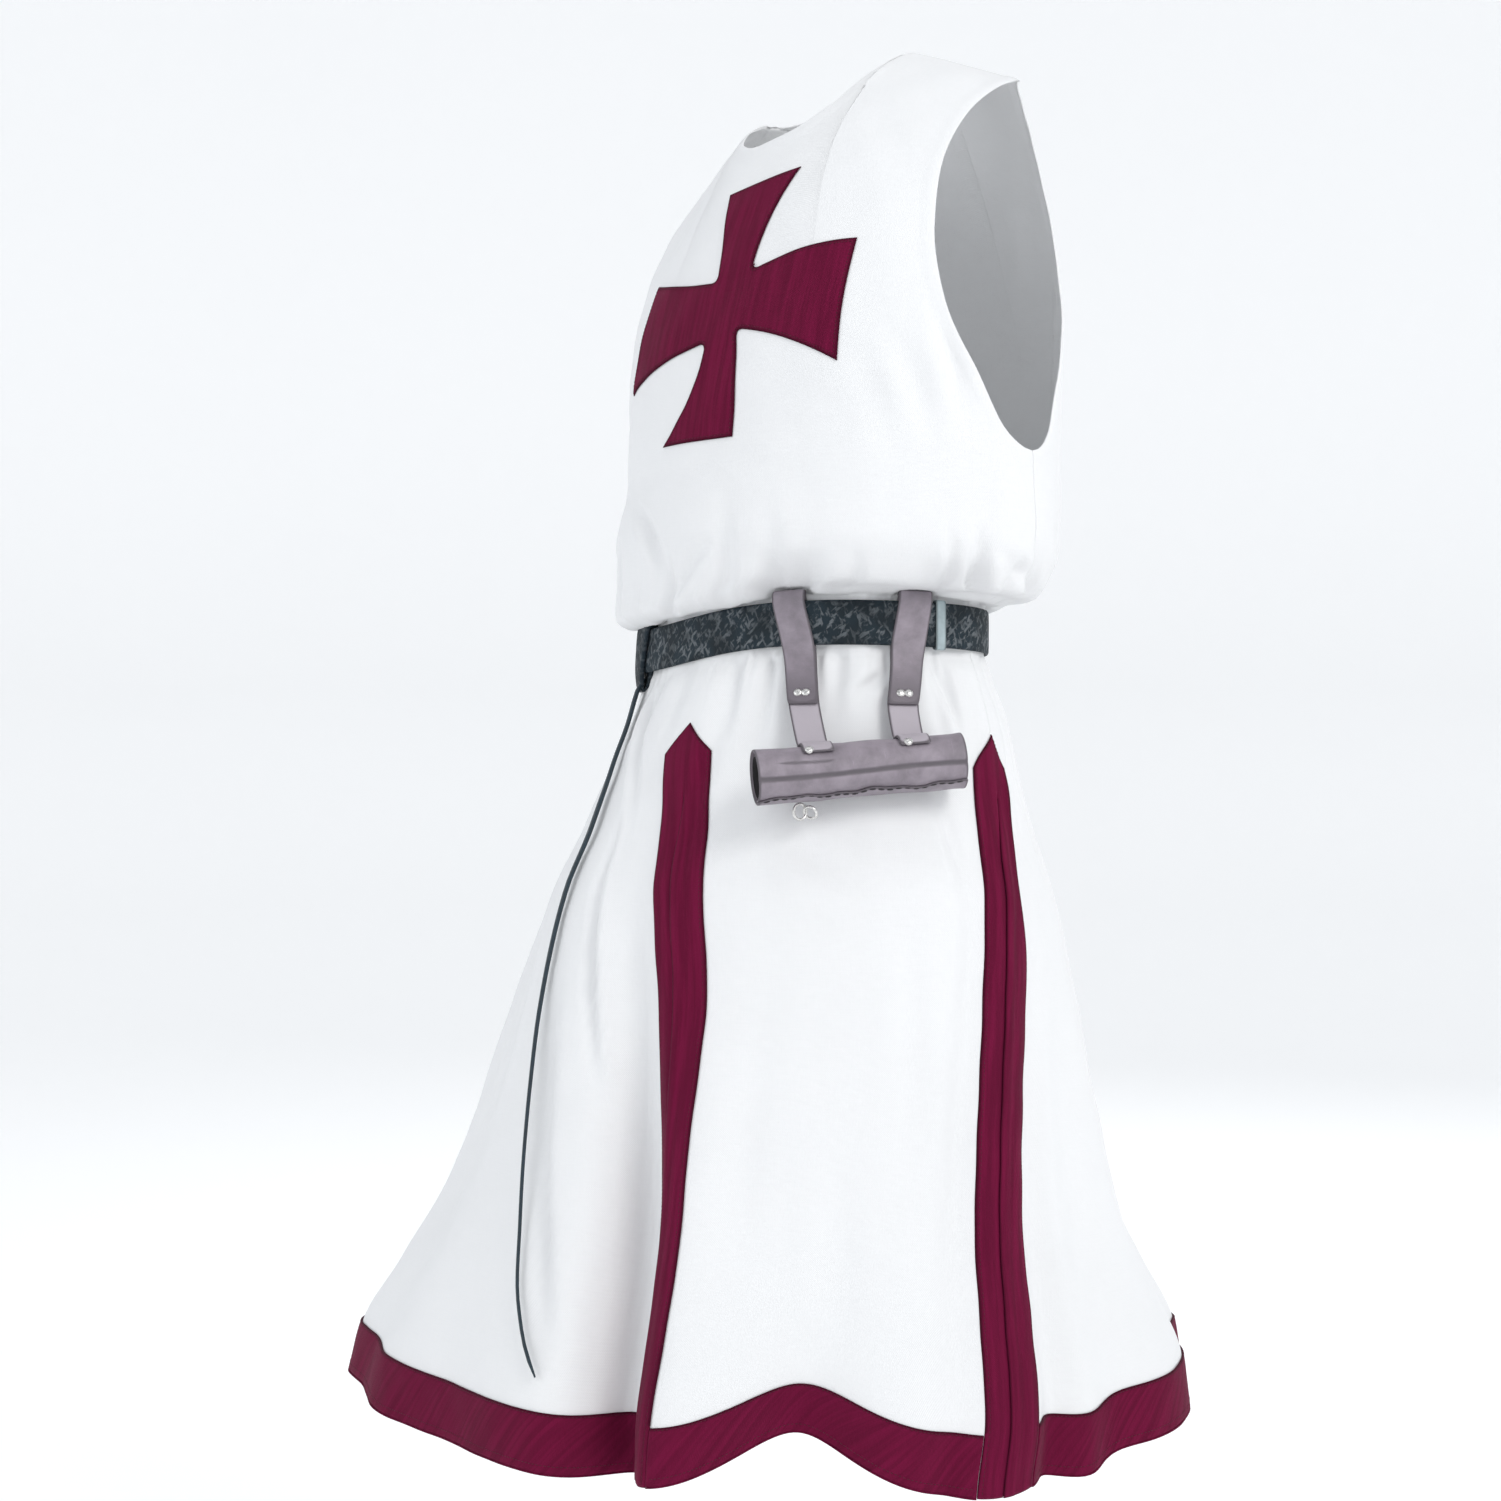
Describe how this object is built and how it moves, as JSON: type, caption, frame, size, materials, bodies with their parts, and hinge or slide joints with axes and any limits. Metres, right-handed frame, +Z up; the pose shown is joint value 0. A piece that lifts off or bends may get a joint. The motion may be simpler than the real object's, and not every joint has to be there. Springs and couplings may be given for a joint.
{
  "type": "knight tunic",
  "caption": "Sleeveless white surcoat with an applied dark red cross, vent and hem bands, and a leather belt that carries a rolled sword frog and a hanging tail.",
  "frame": {"origin": "midway between the two shoulder points beside the neck, where the wearer's shoulders hold the tunic up", "axes": "+Z up, along the standing wearer; the front of the belt faces -Y; the wearer's left is +X"},
  "size_m": [0.7776, 0.7158, 1.1854],
  "materials": {
    "white_cloth": "matt woven white cloth",
    "red_cloth": "matt woven dark red cloth",
    "belt_leather": "embossed blue-black",
    "frog_leather": "smooth grey, soft shine",
    "pale_leather": "smooth pale grey",
    "rivet_metal": "bright plated"
  },
  "bodies": {
    "root": {"tunic_front": "white_cloth", "tunic_back": "white_cloth", "vent_band_front": "red_cloth", "vent_band_left": "red_cloth", "vent_band_right": "red_cloth", "hem_band_front_right": "red_cloth", "hem_band_front_left": "red_cloth", "hem_band_back": "red_cloth", "cross": "red_cloth", "belt": "belt_leather", "belt_wrap": "belt_leather", "belt_keeper": "pale_leather", "belt_tail": "belt_leather", "frog_hanger_left": "frog_leather", "frog_hanger_right": "frog_leather", "frog_tube": "frog_leather", "frog_rivet_left_1": "rivet_metal", "frog_rivet_left_2": "rivet_metal", "frog_rivet_left_3": "rivet_metal", "frog_rivet_right_1": "rivet_metal", "frog_rivet_right_2": "rivet_metal", "frog_rivet_right_3": "rivet_metal", "frog_ring": "rivet_metal"}
  },
  "joints": []
}
